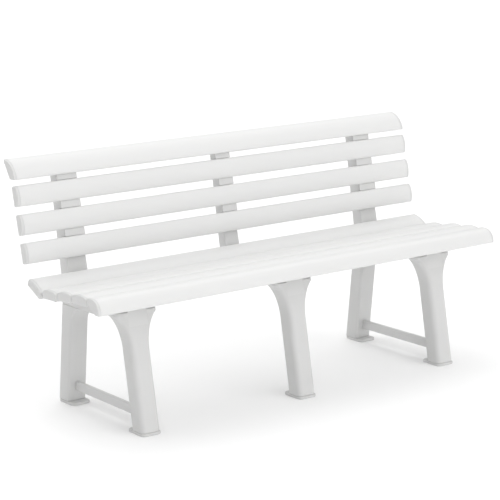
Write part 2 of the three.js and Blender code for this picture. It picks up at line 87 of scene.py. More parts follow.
X, Y, Z = 0, 1, 2
LENGTH = (cad_box[1].x - cad_box[0].x) / MM
FRONT_Y = cad_box[0].y / MM
REAR_Y = cad_box[1].y / MM
HEIGHT = cad_box[1].z / MM
FRAMES = {side: middle("front_foot_" + side, X) for side in ("left", "middle", "right")}
END_FRAMES = {side: x for side, x in FRAMES.items() if side != "middle"}

# ---------------------------------------------------------------- sizes of the design
GAP = 0.3
SEAM = 0.1
SLAT_THICKNESS = 29
SLAT_WALL = 2.2
SLAT_CROWN = 4
FACE_RADIUS = 9
BACK_RADIUS = 5
CORNER_DROP = FACE_RADIUS + SLAT_CROWN
CHAMBER_RADIUS = 2
SEAT_SLAT_WIDTH = 74
BACK_SLAT_WIDTH = 60
BACK_SLAT_PITCH = 81.75
SEAT_TILTS = {"seat_slat_2": -2, "seat_slat_3": -6, "seat_slat_4": -2, "seat_slat_5": 25}
BACK_LEAN = 11.7
BACK_FOOT_Y = 131.6
BACK_FOOT_Z = 453.7
FLAT_BACK_SLATS = ("back_slat_1", "back_slat_2", "back_slat_3")
CAP_DEPTH = LENGTH / 2 - box("seat_slat_2")[1].x - GAP
CAP_ROUNDING = 4.4
CREST_CAP_ROUNDING = 3.0
CAP_SEAM = 0.5
PLUG_LENGTH = 14
PLUG_CLEARANCE = 0.5

NOSING_RADIUS = 38
NOSING_BACK_Y = box("seat_slat_1")[1].y
NOSING_TOP_Z = box("seat_slat_1")[1].z
NOSING_LIP_Z = box("seat_slat_1")[0].z
NOSING_LIP_WIDTH = 21
NOSING_LIP_RADIUS = 5
NOSING_CORNER = 6
NOSING_BOTTOM_Z = NOSING_TOP_Z - SLAT_THICKNESS + SLAT_WALL
# The nosing's rib and the top of its lip's hollow, as shares of its radius.
NOSING_RIB = 0.6
NOSING_LIP_CHAMBER = 0.55

CREST_RADIUS = 66
CREST_OVERHANG = 4.5
CREST_START_Z = 691
CREST_BACK_Y = 215
CREST_BACK_Z = 686
CREST_TIP = 10
CREST_CHAMFER = 5
# The crest's hollows: front and rear from the ends of its base, low and high from the start
# of its curved face.
CREST_CHAMBERS = ((9, 0, 0, 15), (22, 11, 19, 31))

LEG_WIDTH = 62
LEG_DEPTH = 52
LEG_WALL = 3.5
LEG_FRONT_RADIUS = 16
LEG_REAR_RADIUS = 2.5
LEG_CEILING_Z = 286
LEG_BOTTOM_Z = box("front_leg_left")[0].z
FRONT_LEG_Y = -191
FRONT_LEG_LEAN = -9.5
REAR_LEG_Y = 217
REAR_LEG_LEAN = 7.8
REAR_LEG_RADIUS = 9
FLARE_START_Z = 232
FLARE_WIDTH = 62
FLARE_HEIGHT = 115
FLARE_TIP_X = 67
FLARE_TOP_Z = box("front_leg_middle")[1].z
HAUNCH_START_Z = 240
HAUNCH_REACH = 55
HAUNCH_LIP = 3
HAUNCH_TURN = 88

BEARER_BOTTOM_Z = box("seat_bearer_left")[0].z
BEARER_KNEE_Z = 356
BEARER_KNEE_ROUNDING = 9
BEARER_KNEE_RADIUS = 7
BEARER_HEEL_Z = 338
BEARER_HEEL_END_Y = 10
BEARER_SHOULDER_Y = 133
BEARER_SHOULDER_Z = 346
BEARER_CHAMFER = 8
BEARER_WALL = 3.5
BEARER_REAR_BAY_Y = 146
BAY_RADIUS = 3
LAST_SLAT_REST = 2 / 3
# Front, rear and ceiling of the hollows under a bearer.
BEARER_BAYS = ((-104, -56, 366), (-52, -2, 364), (2, 62, 357), (66, 128, 357))

# Depth of each post at its foot and its top.
POST_DEPTHS = {"left": (51, 27), "middle": (40, 17), "right": (51, 27)}
POST_TOP_Z = 700
POST_HOLLOW_TOP_Z = 655
POST_WALL = 3.5
POST_RADIUS = 5
TOOTH_BEHIND = 15
TOOTH_RADIUS = 2

FOOT_THICKNESS = 8
FOOT_CORNER = 14
FOOT_RIM = 2.5
FOOT_CHAMFER = 0.8
FOOT_PLUG_CLEARANCE = 0.5
FOOT_PLUG_RADIUS = 1.5
FOOT_PLUG_TOP = 4
STRETCHER_Z = middle("stretcher_left", Z)
STRETCHER_RADIUS = 3.5

# Head radius, head height, shank radius and length of each kind of screw.
FRAME_SCREW = (6, 3.2, 2.5, 27)
SLAT_SCREW = (5, 2.2, 2.0, 14)
SCREW_PITCH = 1.8
CREST_SCREW_Z = 683
SCREW_TO_BAY_END = 8
MOVED_SCREW_TO_BAY_END = 10

BOLT_RADIUS = 4.0
BOLT_HEAD_RADIUS = 8
BOLT_HEAD_HEIGHT = 5
BOLT_THREAD_LENGTH = 36
BOLT_PITCH = 1.25
BOLT_SOCKET_RADIUS = 3.4
NUT_RADIUS = 7.4

# ---------------------------------------------------------------- outlines
# An outline is a closed list of points in anticlockwise order.


def arc(centre_a, centre_b, radius, start, end, steps, radius_b=None):
    """Points on a circle, or on an ellipse with a second radius, between two angles in degrees."""
    radius_b = radius if radius_b is None else radius_b
    points = []
    for i in range(steps + 1):
        angle = math.radians(start + (end - start) * i / steps)
        points.append((centre_a + radius * math.cos(angle), centre_b + radius_b * math.sin(angle)))
    return points


def rounded_rectangle(a0, a1, b0, b1, low_radius, high_radius, steps=6):
    """A rectangle with one corner radius along b0 and another along b1."""
    low, high = low_radius, high_radius
    return (
        arc(a1 - low, b0 + low, low, -90, 0, steps)
        + arc(a1 - high, b1 - high, high, 0, 90, steps)
        + arc(a0 + high, b1 - high, high, 90, 180, steps)
        + arc(a0 + low, b0 + low, low, 180, 270, steps)
    )


def rounded_polygon(corners, radius, steps=4):
    """An anticlockwise outline through straight sides with every corner rounded."""
    points = []
    for i, corner in enumerate(corners):
        here = Vector(corner)
        back = (Vector(corners[i - 1]) - here).normalized()
        ahead = (Vector(corners[(i + 1) % len(corners)]) - here).normalized()
        half_angle = back.angle(ahead) / 2
        centre = here + (back + ahead).normalized() * radius / math.sin(half_angle)
        start = math.degrees(math.atan2(back.x, -back.y))
        turn = 180 - math.degrees(2 * half_angle)
        points += arc(centre.x, centre.y, radius, start, start + turn, steps)
    return points


def flat_slat_outline(width):
    """A slat with a crowned upper face that runs smoothly into its rounded edges."""
    half = width / 2
    bottom = -SLAT_THICKNESS / 2
    top = SLAT_THICKNESS / 2
    a = half - FACE_RADIUS
    crown_radius = (a**2 + CORNER_DROP**2 - FACE_RADIUS**2) / (2 * (CORNER_DROP - FACE_RADIUS))
    spread = math.degrees(math.asin(a / (crown_radius - FACE_RADIUS)))
    edge_b = top - CORNER_DROP
    return (
        arc(half - BACK_RADIUS, bottom + BACK_RADIUS, BACK_RADIUS, -90, 0, 5)
        + arc(a, edge_b, FACE_RADIUS, 0, 90 - spread, 8)
        + arc(0, top - crown_radius, crown_radius, 90 - spread, 90 + spread, 16)[1:-1]
        + arc(-a, edge_b, FACE_RADIUS, 90 + spread, 180, 8)
        + arc(BACK_RADIUS - half, bottom + BACK_RADIUS, BACK_RADIUS, 180, 270, 5)
    )


def flat_slat_chambers(width, count):
    """The hollows of a flat slat, with a thin rib between each two."""
    low = -SLAT_THICKNESS / 2 + SLAT_WALL
    high = SLAT_THICKNESS / 2 - SLAT_CROWN - SLAT_WALL
    inner = width / 2 - SLAT_WALL - BACK_RADIUS
    pitch = (2 * inner + SLAT_WALL) / count
    starts = [-inner + i * pitch for i in range(count)]
    return [chamber(a, a + pitch - SLAT_WALL, low, high) for a in starts]


def chamber(a0, a1, b0, b1):
    return rounded_rectangle(a0, a1, b0, b1, CHAMBER_RADIUS, CHAMBER_RADIUS, 2)


def nosing_outline():
    """The front slat: a flat lead that turns down through a quarter circle to a lip."""
    lip = NOSING_LIP_RADIUS
    corner = NOSING_CORNER
    back = NOSING_BACK_Y - corner
    return (
        arc(back, NOSING_TOP_Z - corner, corner, 0, 90, 6)
        + arc(FRONT_Y + NOSING_RADIUS, NOSING_TOP_Z - NOSING_RADIUS, NOSING_RADIUS, 90, 180, 20)
        + arc(FRONT_Y + lip, NOSING_LIP_Z + lip, lip, 180, 270, 6)
        + [(FRONT_Y + NOSING_LIP_WIDTH, NOSING_LIP_Z)]
        + arc(back, NOSING_BOTTOM_Z + corner, corner, -90, 0, 4)
    )


def nosing_chambers():
    wall = SLAT_WALL
    rib = FRONT_Y + NOSING_RIB * NOSING_RADIUS
    back = NOSING_BACK_Y - NOSING_CORNER - wall
    lip_top = NOSING_LIP_Z + NOSING_LIP_CHAMBER * NOSING_RADIUS
    lead = chamber(rib + wall, back, NOSING_BOTTOM_Z + wall, NOSING_TOP_Z - 2 * wall)
    lip = chamber(FRONT_Y + 2.5 * wall, rib, NOSING_LIP_Z + 2 * wall, lip_top)
    return [lead, lip]


def crest_circle():
    """Centre of the crest's outer curve, and the angles of its lower and upper ends."""
    centre_y = REAR_Y + CREST_OVERHANG
    centre_z = HEIGHT - math.sqrt(CREST_RADIUS**2 - CREST_OVERHANG**2)
    start = 180 - math.degrees(math.asin((CREST_START_Z - centre_z) / CREST_RADIUS))
    end = 90 + math.degrees(math.asin(CREST_OVERHANG / CREST_RADIUS))
    return centre_y, centre_z, start, end


def crest_outline():
    """The top rail: a curved face that rolls rearwards, with a flat back."""
    centre_y, centre_z, start, end = crest_circle()
    start_y = centre_y + CREST_RADIUS * math.cos(math.radians(start))
    tip_z = HEIGHT - CREST_TIP
    return (
        [(CREST_BACK_Y, CREST_BACK_Z), (REAR_Y - CREST_CHAMFER, tip_z - CREST_CHAMFER)]
        + arc(REAR_Y - CREST_CHAMFER, tip_z, CREST_CHAMFER, -45, 0, 3)
        + arc(centre_y, centre_z, CREST_RADIUS, end, start, 24)
        + arc(start_y + CREST_CHAMFER, CREST_BACK_Z + CREST_CHAMFER, CREST_CHAMFER, 200, 270, 4)
    )


def crest_chambers():
    centre_y, _, start, _ = crest_circle()
    start_y = centre_y + CREST_RADIUS * math.cos(math.radians(start))
    base = CREST_START_Z
    return [
        chamber(start_y + front, CREST_BACK_Y + rear, base + low, base + high)
        for front, rear, low, high in CREST_CHAMBERS
    ]


def turned_outline(outline, tilt, y, z):
    """An outline turned by tilt degrees and moved to (y, z)."""
    c = math.cos(math.radians(tilt))
    s = math.sin(math.radians(tilt))
    return [(y + a * c - b * s, z + a * s + b * c) for a, b in outline]


def cleaned(outline):
    """An outline without points that lie on the point before them."""
    shortest = 0.02
    kept = []
    for i, point in enumerate(outline):
        if math.dist(point, outline[i - 1]) > shortest:
            kept.append(point)
    return kept


def inset(outline, distances):
    """An outline with each point moved inwards by its own distance."""
    least_share = 0.5
    moved = []
    count = len(outline)
    for i, (a, b) in enumerate(outline):
        before = Vector(outline[i - 1])
        after = Vector(outline[(i + 1) % count])
        here = Vector((a, b))
        first = (here - before).normalized()
        second = (after - here).normalized()
        along = (first + second).normalized()
        stretch = 1 / max(along.dot(first), least_share)
        normal = Vector((-along.y, along.x))
        moved.append(tuple(here + normal * distances[i] * stretch))
    return moved


# ---------------------------------------------------------------- meshes


def piece_from(bm, name):
    """A smooth-shaded object in metres, with its sharper edges left sharp."""
    bmesh.ops.remove_doubles(bm, verts=bm.verts, dist=WELD_DISTANCE)
    bmesh.ops.recalc_face_normals(bm, faces=bm.faces)
    bmesh.ops.scale(bm, verts=bm.verts, vec=(MM, MM, MM))
    for face in bm.faces:
        face.smooth = True
    for edge in bm.edges:
        if edge.is_manifold:
            edge.smooth = edge.calc_face_angle() < math.radians(SHARP_ANGLE)
    mesh = bpy.data.meshes.new(name)
    bm.to_mesh(mesh)
    bm.free()
    piece = bpy.data.objects.new(name, mesh)
    bpy.context.scene.collection.objects.link(piece)
    return piece


def add_loft(bm, rings):
    """A closed body through rings of equal length, with a face across its first and last."""
    rows = [[bm.verts.new(point) for point in ring] for ring in rings]
    count = len(rows[0])
    for low, high in zip(rows, rows[1:]):
        for i in range(count):
            j = (i + 1) % count
            bm.faces.new((low[i], low[j], high[j], high[i]))
    bm.faces.new(rows[0])
    bm.faces.new(rows[-1])


def along_x(outline, x):
    return [(x, a, b) for a, b in outline]


def rim_rings(outline, radii, outer, direction, steps=5):
    """Rings that round the rim of a prism along X, each point by its own radius."""
    rings = []
    for i in range(steps + 1):
        angle = math.radians(90 * i / steps)
        shrunk = inset(outline, [r * (1 - math.cos(angle)) for r in radii])
        xs = [outer - direction * r * (1 - math.sin(angle)) for r in radii]
        rings.append([(x, a, b) for x, (a, b) in zip(xs, shrunk)])
    return rings


def add_prism(bm, outline, radii, x0, x1):
    """A prism along X whose rims are rounded by a radius for each point."""
    left = rim_rings(outline, radii, x0, -1)[::-1]
    right = rim_rings(outline, radii, x1, 1)
    add_loft(bm, left + right)


def add_tube(bm, outline, holes, x0, x1):
    """A hollow prism along X, open at both ends through its holes."""
    ends = {x0: [], x1: []}
    for loop in [cleaned(outline)] + [cleaned(hole) for hole in holes]:
        rows = [[bm.verts.new(point) for point in along_x(loop, x)] for x in (x0, x1)]
        count = len(loop)
        for i in range(count):
            j = (i + 1) % count
            bm.faces.new((rows[0][i], rows[0][j], rows[1][j], rows[1][i]))
        for x, row in zip((x0, x1), rows):
            for i in range(count):
                ends[x].append(bm.edges.get((row[i], row[(i + 1) % count])))
    for edges in ends.values():
        bmesh.ops.triangle_fill(bm, use_beauty=True, edges=edges)


def apply_modifier(piece, kind, **settings):
    """Adds one modifier and applies it at once."""
    modifier = piece.modifiers.new(kind.title(), kind)
    for key, value in settings.items():
        setattr(modifier, key, value)
    graph = bpy.context.evaluated_depsgraph_get()
    made = bpy.data.meshes.new_from_object(piece.evaluated_get(graph))
    piece.modifiers.clear()
    piece.data = made


def combined(piece, bm, operation):
    """Cuts a second body out of a piece, or joins it on."""
    tool = piece_from(bm, piece.name + "_tool")
    apply_modifier(piece, "BOOLEAN", object=tool, operation=operation, solver="EXACT")
    bpy.data.objects.remove(tool)


def shaded(piece, sharp_angle=SHARP_ANGLE):
    """Smooth shading with edges above the angle left sharp, after modifiers."""
    bm = bmesh.new()
    bm.from_mesh(piece.data)
    for face in bm.faces:
        face.smooth = True
    for edge in bm.edges:
        edge.smooth = not edge.is_manifold or edge.calc_face_angle() < math.radians(sharp_angle)
    bm.to_mesh(piece.data)
    bm.free()


def finished(piece, material, slot, *nodes):
    """Gives a piece its material, and lets it ride and stand for CAD nodes. The slot is not used."""
    piece.data.materials.clear()
    piece.data.materials.append(material)
    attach(piece, "root")
    if nodes:
        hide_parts(*nodes)
    return piece


# ---------------------------------------------------------------- materials


class Nodes:
    """A short way to build a node material."""

    def __init__(self, name):
        self.material = bpy.data.materials.new(name)
        self.material.use_nodes = True
        self.tree = self.material.node_tree
        self.shader = self.tree.nodes["Principled BSDF"]

    def add(self, kind, **values):
        node = self.tree.nodes.new(kind)
        for key, value in values.items():
            setattr(node, key, value)
        return node

    def link(self, output, socket):
        self.tree.links.new(output, socket)

    def mapping(self, scale):
        coordinates = self.add("ShaderNodeTexCoord")
        mapping = self.add("ShaderNodeMapping")
        mapping.inputs["Scale"].default_value = scale
        self.link(coordinates.outputs["Object"], mapping.inputs["Vector"])
        return mapping.outputs["Vector"]

    def noise(self, scale, detail=2.0, stretch=(1, 1, 1), roughness=0.5):
        noise = self.add("ShaderNodeTexNoise")
        noise.inputs["Scale"].default_value = scale
        noise.inputs["Detail"].default_value = detail
        noise.inputs["Roughness"].default_value = roughness
        self.link(self.mapping(stretch), noise.inputs["Vector"])
        return noise.outputs["Fac"]

    def span(self, value, low, high, from_low=0.3, from_high=0.7):
        """Spreads a value between two limits."""
        node = self.add("ShaderNodeMapRange")
        node.inputs["From Min"].default_value = from_low
        node.inputs["From Max"].default_value = from_high
        node.inputs["To Min"].default_value = low
        node.inputs["To Max"].default_value = high
        self.link(value, node.inputs["Value"])
        return node.outputs["Result"]

    def mix(self, share, first, second):
        """Mixes two colours by a share; either may be a fixed colour or an output."""
        node = self.add("ShaderNodeMix", data_type="RGBA")
        self.link(share, node.inputs["Factor"])
        for value, socket in ((first, node.inputs[6]), (second, node.inputs[7])):
            if isinstance(value, tuple):
                socket.default_value = (*value, 1)
            else:
                self.link(value, socket)
        return node.outputs[2]

    def math(self, operation, first, second):
        node = self.add("ShaderNodeMath", operation=operation)
        for value, socket in zip((first, second), node.inputs):
            if isinstance(value, (int, float)):
                socket.default_value = value
            else:
                self.link(value, socket)
        return node.outputs[0]

    def bump(self, height, strength, distance, below=None):
        node = self.add("ShaderNodeBump")
        node.inputs["Strength"].default_value = strength
        node.inputs["Distance"].default_value = distance
        self.link(height, node.inputs["Height"])
        if below is not None:
            self.link(below, node.inputs["Normal"])
        return node.outputs["Normal"]


def resin(name, colour, corner_shade_colour, roughness, grain, lines=0.0):
    """White resin with a satin grain, faint flow marks, worn edges with a painted highlight, and painted
    shade in its concave corners.
    """
    n = Nodes(name)
    cloud = n.noise(9.0, 3.0)
    edge = n.add("ShaderNodeNewGeometry").outputs["Pointiness"]
    # Convex edges: a lower roughness from wear, and a painted highlight in a slightly brighter colour.
    edge_wear_and_highlight = n.span(edge, 0.0, 1.0, 0.52, 0.60)
    # Painted shade: concave corners are darkened towards a shade colour.
    painted_corner_shade = n.span(edge, 0.6, 0.0, 0.40, 0.49)
    tint = tuple(c * 0.975 for c in colour)
    base = n.mix(n.span(cloud, 0.0, 1.0), colour, tint)
    if lines:
        streaks = n.noise(1.0, 3.0, (0.7, lines, lines), 0.6)
        drawn = tuple(c * 0.86 for c in colour)
        base = n.mix(n.span(streaks, 0.0, 1.0), base, drawn)
    # Painted shade mixed into the concave corners.
    base = n.mix(painted_corner_shade, base, corner_shade_colour)
    # Painted highlight on the convex edges.
    painted_highlight_colour = tuple(min(c * 1.03, 1.0) for c in colour)
    base = n.mix(edge_wear_and_highlight, base, painted_highlight_colour)
    n.link(base, n.shader.inputs["Base Color"])
    smear = n.noise(38.0, 4.0)
    rough = n.span(smear, roughness - 0.05, roughness + 0.06)
    rough = n.math("SUBTRACT", rough, n.math("MULTIPLY", edge_wear_and_highlight, 0.06))
    n.link(rough, n.shader.inputs["Roughness"])
    normal = n.bump(n.noise(grain, 2.0), 0.16, 0.0004)
    normal = n.bump(n.noise(14.0, 2.0), 0.10, 0.004, normal)
    if lines:
        normal = n.bump(streaks, 0.25, 0.0016, normal)
    n.link(normal, n.shader.inputs["Normal"])
    n.shader.inputs["Specular IOR Level"].default_value = 0.42
    n.shader.inputs["Subsurface Weight"].default_value = 0.05
    n.shader.inputs["Subsurface Radius"].default_value = (0.004, 0.004, 0.003)
    n.shader.inputs["Subsurface Scale"].default_value = 0.5
    return n.material


def zinc(name):
    """Zinc-plated steel with a fine brushed grain and a mottled gloss."""
    n = Nodes(name)
    patches = n.noise(420.0, 3.0)
    colour = n.mix(n.span(patches, 0.0, 1.0), (0.62, 0.63, 0.65), (0.52, 0.53, 0.56))
    n.link(colour, n.shader.inputs["Base Color"])
    n.link(n.span(patches, 0.26, 0.42), n.shader.inputs["Roughness"])
    n.link(n.bump(n.noise(2600.0, 2.0), 0.15, 0.0002), n.shader.inputs["Normal"])
    n.shader.inputs["Metallic"].default_value = 1.0
    return n.material


# The second colour of each resin is the painted shade for its concave corners.
SLAT_RESIN = resin("slat_resin", (0.74, 0.74, 0.735), (0.55, 0.545, 0.52), 0.42, 1500.0, lines=110.0)
CAP_RESIN = resin("cap_resin", (0.69, 0.69, 0.685), (0.54, 0.535, 0.51), 0.46, 1200.0)
FRAME_RESIN = resin("frame_resin", (0.665, 0.665, 0.66), (0.50, 0.495, 0.47), 0.47, 1000.0)
FOOT_RESIN = resin("foot_resin", (0.64, 0.64, 0.635), (0.44, 0.435, 0.41), 0.58, 800.0)
ZINC = zinc("zinc_steel")

# ---------------------------------------------------------------- slats and caps


def slat_designs():
    """Each slat's node with its outline and chambers in the Y-Z plane."""
    designs = {"seat_slat_1": (nosing_outline(), nosing_chambers())}
    for node, tilt in SEAT_TILTS.items():
        place = (tilt, middle(node, Y), middle(node, Z))
        designs[node] = flat_design(SEAT_SLAT_WIDTH, 3, place)
    for node in FLAT_BACK_SLATS:
        place = (90 - BACK_LEAN, middle(node, Y), middle(node, Z))
        designs[node] = flat_design(BACK_SLAT_WIDTH, 2, place)
    designs["back_slat_4"] = (crest_outline(), crest_chambers())
    return designs


def flat_design(width, chamber_count, place):
    outline = turned_outline(flat_slat_outline(width), *place)
    chambers = [turned_outline(c, *place) for c in flat_slat_chambers(width, chamber_count)]
    return outline, chambers


def slat(node, outline, chambers):
    bm = bmesh.new()
    end = LENGTH / 2 - CAP_DEPTH - GAP
    add_tube(bm, outline, chambers, -end, end)
    piece = piece_from(bm, node + "_tube")
    finished(piece, SLAT_RESIN, "slat_plastic", node)


def cap(node, outline, chambers, side):
    """An end cap with a softly rounded rim, and a plug in each outer chamber."""
    direction = 1 if side == "right" else -1
    outline = cleaned(outline)
    rounding = CREST_CAP_ROUNDING if node == "back_slat_4" else CAP_ROUNDING
    outer = direction * LENGTH / 2
    face = direction * (LENGTH / 2 - CAP_DEPTH)
    rings = [along_x(inset(outline, [CAP_SEAM] * len(outline)), face)]
    rings.append(along_x(outline, face + direction * CAP_SEAM))
    rings += rim_rings(outline, [rounding] * len(outline), outer, direction, 7)
    bm = bmesh.new()
    add_loft(bm, rings)
    for hollow in (cleaned(chambers[0]), cleaned(chambers[-1])):
        plug = inset(hollow, [PLUG_CLEARANCE] * len(hollow))
        add_loft(bm, [along_x(plug, face), along_x(plug, face - direction * PLUG_LENGTH)])
    piece = piece_from(bm, node + "_end_" + side)
    finished(piece, CAP_RESIN, "cap_plastic", node + "_cap_" + side)


def build_slats():
    for node, (outline, chambers) in slat_designs().items():
        slat(node, outline, chambers)
        for side in ("left", "right"):
            cap(node, outline, chambers, side)


# ---------------------------------------------------------------- back posts


def on_back(along, behind):
    """The (Y, Z) point a distance up the lean of the back and behind the faces of its slats."""
    lean = math.radians(BACK_LEAN)
    y = BACK_FOOT_Y + along * math.sin(lean) + behind * math.cos(lean)
    z = BACK_FOOT_Z + along * math.cos(lean) - behind * math.sin(lean)
    return y, z


def height_on_back(z, behind):
    """The distance up the lean of the back at a height, behind the faces of its slats."""
    lean = math.radians(BACK_LEAN)
    return (z - BACK_FOOT_Z + behind * math.sin(lean)) / math.cos(lean)


def post_front_y(z):
    lean = math.radians(BACK_LEAN)
    return BACK_FOOT_Y + (z - BACK_FOOT_Z) * math.tan(lean) + (SLAT_THICKNESS + GAP) / math.cos(lean)


def post_rear_y(side, z):
    foot, top = POST_DEPTHS[side]
    share = (z - BEARER_SHOULDER_Z) / (POST_TOP_Z - BEARER_SHOULDER_Z)
    return post_front_y(z) + foot + (top - foot) * share


def crest_back_y(z):
    """Y of the crest's flat back at a height, or the front limit of a post below it."""
    rise = HEIGHT - CREST_TIP - CREST_CHAMFER - CREST_BACK_Z
    slope = (REAR_Y - CREST_CHAMFER - CREST_BACK_Y) / rise
    return CREST_BACK_Y + GAP + (z - CREST_BACK_Z) * slope


def post_ring(x, side, z, shrink, against_crest=False):
    half = size("back_post_" + side, X) / 2 - shrink
    front = post_front_y(z) + shrink
    if against_crest:
        front = max(front, crest_back_y(z))
    rear = post_rear_y(side, z) - shrink
    radius = max(POST_RADIUS - shrink, 1.0)
    ring = rounded_rectangle(x - half, x + half, front, rear, radius, radius, 5)
    return [(a, b, z) for a, b in ring]


def tooth_outline(index):
    """Side view of the part of a post that fills the space above one of the back slats."""
    low = BACK_SLAT_WIDTH + index * BACK_SLAT_PITCH + SEAM
    high = (index + 1) * BACK_SLAT_PITCH - SEAM
    rear = SLAT_THICKNESS + 3 * POST_RADIUS
    front_high = min(high, height_on_back(CREST_BACK_Z - GAP, TOOTH_BEHIND))
    corners = [(low, TOOTH_BEHIND), (low, rear), (high, rear), (front_high, TOOTH_BEHIND)]
    return rounded_polygon([on_back(*corner) for corner in corners], TOOTH_RADIUS)


def add_tooth(bm, side, x, index):
    half = size("back_post_" + side, X) / 2
    outline = tooth_outline(index)
    rim = TOOTH_RADIUS - 0.2
    add_prism(bm, outline, [rim] * len(outline), x - half, x + half)


def post(side, x):
    foot_z = BEARER_SHOULDER_Z + GAP
    ledge_z = CREST_BACK_Z - GAP
    chamfer = 0.6
    rings = [post_ring(x, side, POST_HOLLOW_TOP_Z, POST_WALL), post_ring(x, side, foot_z, POST_WALL)]
    rings.append(post_ring(x, side, foot_z, chamfer))
    rings.append(post_ring(x, side, foot_z + chamfer, 0))
    rings.append(post_ring(x, side, ledge_z - GAP, 0))
    rings.append(post_ring(x, side, ledge_z, 0, True))
    rim = 2.0
    rings.append(post_ring(x, side, POST_TOP_Z - rim, 0, True))
    for angle in (30, 60, 90):
        drop = rim * (1 - math.sin(math.radians(angle)))
        shrink = rim * (1 - math.cos(math.radians(angle)))
        rings.append(post_ring(x, side, POST_TOP_Z - drop, shrink, True))
    bm = bmesh.new()
    add_loft(bm, rings)
    piece = piece_from(bm, "post_" + side)
    for index in range(len(FLAT_BACK_SLATS)):
        tooth = bmesh.new()
        add_tooth(tooth, side, x, index)
        combined(piece, tooth, "UNION")
    shaded(piece)
    finished(piece, FRAME_RESIN, "frame_plastic", "back_post_" + side)


# ---------------------------------------------------------------- seat bearers


def slat_underside(node, across):
    """A point just under a flat seat slat, at a distance across its width."""
    tilt = math.radians(SEAT_TILTS[node])
    below = SLAT_THICKNESS / 2 + GAP
    y = middle(node, Y) + across * math.cos(tilt) + below * math.sin(tilt)
    z = middle(node, Z) + across * math.sin(tilt) - below * math.cos(tilt)
    return y, z


def bend(start, corner, end, steps=6):
    """Points along a smooth bend that starts and ends on the two sides of a corner."""
    points = []
    for i in range(steps + 1):
        t = i / steps
        first = Vector(start).lerp(Vector(corner), t)
        second = Vector(corner).lerp(Vector(end), t)
        points.append(tuple(first.lerp(second, t)))
    return points


def bearer_outline(rear_y):
    """Side view, with the rim radius of each point: large round the knee, small elsewhere."""
    half = SEAT_SLAT_WIDTH / 2
    small = 1.5
    edge = 2.5
    shoulder = BEARER_SHOULDER_Z
    points = [((rear_y, BEARER_BOTTOM_Z), edge)]
    corner = arc(rear_y - BEARER_CHAMFER, shoulder - BEARER_CHAMFER, BEARER_CHAMFER, 0, 90, 6)
    points += [(point, edge) for point in corner]
    points.append(((BEARER_SHOULDER_Y, shoulder), small))
    for node in reversed(SEAT_TILTS):
        rear = half * LAST_SLAT_REST if node == "seat_slat_5" else half
        points.append((slat_underside(node, rear), small))
        points.append((slat_underside(node, -half), small))
    points.append(((NOSING_BACK_Y - NOSING_CORNER, NOSING_BOTTOM_Z - GAP), small))
    points.append(((FRONT_Y + NOSING_LIP_WIDTH, NOSING_LIP_Z - GAP), small))
    tongue_y = FRONT_Y + NOSING_LIP_WIDTH
    knee_y = front_leg_face_y(BEARER_KNEE_Z)
    slope = (NOSING_LIP_Z - GAP - BEARER_KNEE_Z) / (knee_y - tongue_y)
    on_tongue = (knee_y - BEARER_KNEE_ROUNDING, BEARER_KNEE_Z + slope * BEARER_KNEE_ROUNDING)
    low_z = BEARER_KNEE_Z - BEARER_KNEE_ROUNDING
    on_face = (front_leg_face_y(low_z), low_z)
    knee = bend(on_tongue, (knee_y, BEARER_KNEE_Z), on_face)
    points += [(point, min(BEARER_KNEE_RADIUS, point[1] - FLARE_TOP_Z)) for point in knee]
    seam = 0.5
    points.append(((front_leg_face_y(FLARE_TOP_Z), FLARE_TOP_Z), seam))
    points.append(((front_leg_face_y(BEARER_BOTTOM_Z), BEARER_BOTTOM_Z), seam))
    points.append(((front_leg_rear_y(BEARER_BOTTOM_Z), BEARER_BOTTOM_Z), seam))
    points.append(((front_leg_rear_y(BEARER_HEEL_Z), BEARER_HEEL_Z), small))
    points.append(((BEARER_HEEL_END_Y, BEARER_BOTTOM_Z), edge))
    return points


def bearer(side, x):
    rear_y = box("seat_bearer_" + side)[1].y
    points = bearer_outline(rear_y)
    half = LEG_WIDTH / 2
    inner = half - BEARER_WALL
    below = BEARER_BOTTOM_Z - 20
    bm = bmesh.new()
    outline = [point for point, _ in points]
    radii = [radius for _, radius in points]
    add_prism(bm, outline, radii, x - half, x + half)
    piece = piece_from(bm, "bearer_" + side)
    rear_bay = (BEARER_REAR_BAY_Y, rear_y - 1.5 * BEARER_WALL, BEARER_SHOULDER_Z - BEARER_WALL)
    for front, rear, ceiling in (*BEARER_BAYS, rear_bay):
        cutter = bmesh.new()
        section = rounded_rectangle(x - inner, x + inner, front, rear, BAY_RADIUS, BAY_RADIUS, 3)
        rings = [[(a, b, z) for a, b in section] for z in (below, ceiling)]
        add_loft(cutter, rings)
        combined(piece, cutter, "DIFFERENCE")
    shaded(piece)
    finished(piece, FRAME_RESIN, "frame_plastic", "seat_bearer_" + side)


# ---------------------------------------------------------------- legs, feet and stretchers


def front_leg_y(z):
    return FRONT_LEG_Y - z * math.tan(math.radians(FRONT_LEG_LEAN))


def rear_leg_y(z):
    return REAR_LEG_Y - z * math.tan(math.radians(REAR_LEG_LEAN))


def half_depth(lean):
    return LEG_DEPTH / 2 / math.cos(math.radians(lean))


def front_leg_face_y(z):
    return front_leg_y(z) - half_depth(FRONT_LEG_LEAN)


def front_leg_rear_y(z):
    return front_leg_y(z) + half_depth(FRONT_LEG_LEAN)


def front_leg_ring(x, z, half_width, shrink=0.0):
    front_radius = max(LEG_FRONT_RADIUS - shrink, 1.0)
    rear_radius = max(LEG_REAR_RADIUS - shrink, 1.0)
    half = half_width - shrink
    sides = (x - half, x + half, front_leg_face_y(z) + shrink, front_leg_rear_y(z) - shrink)
    return [(a, b, z) for a, b in rounded_rectangle(*sides, front_radius, rear_radius, 8)]


def flare_sections(count):
    """Heights and half widths up the flare of a front leg."""
    centre = LEG_WIDTH / 2 + FLARE_WIDTH
    tip = math.acos((centre - FLARE_TIP_X) / FLARE_WIDTH)
    sections = []
    for i in range(count + 1):
        angle = tip * i / count
        z = FLARE_START_Z + FLARE_HEIGHT * math.sin(angle)
        sections.append((z, centre - FLARE_WIDTH * math.cos(angle)))
    return sections


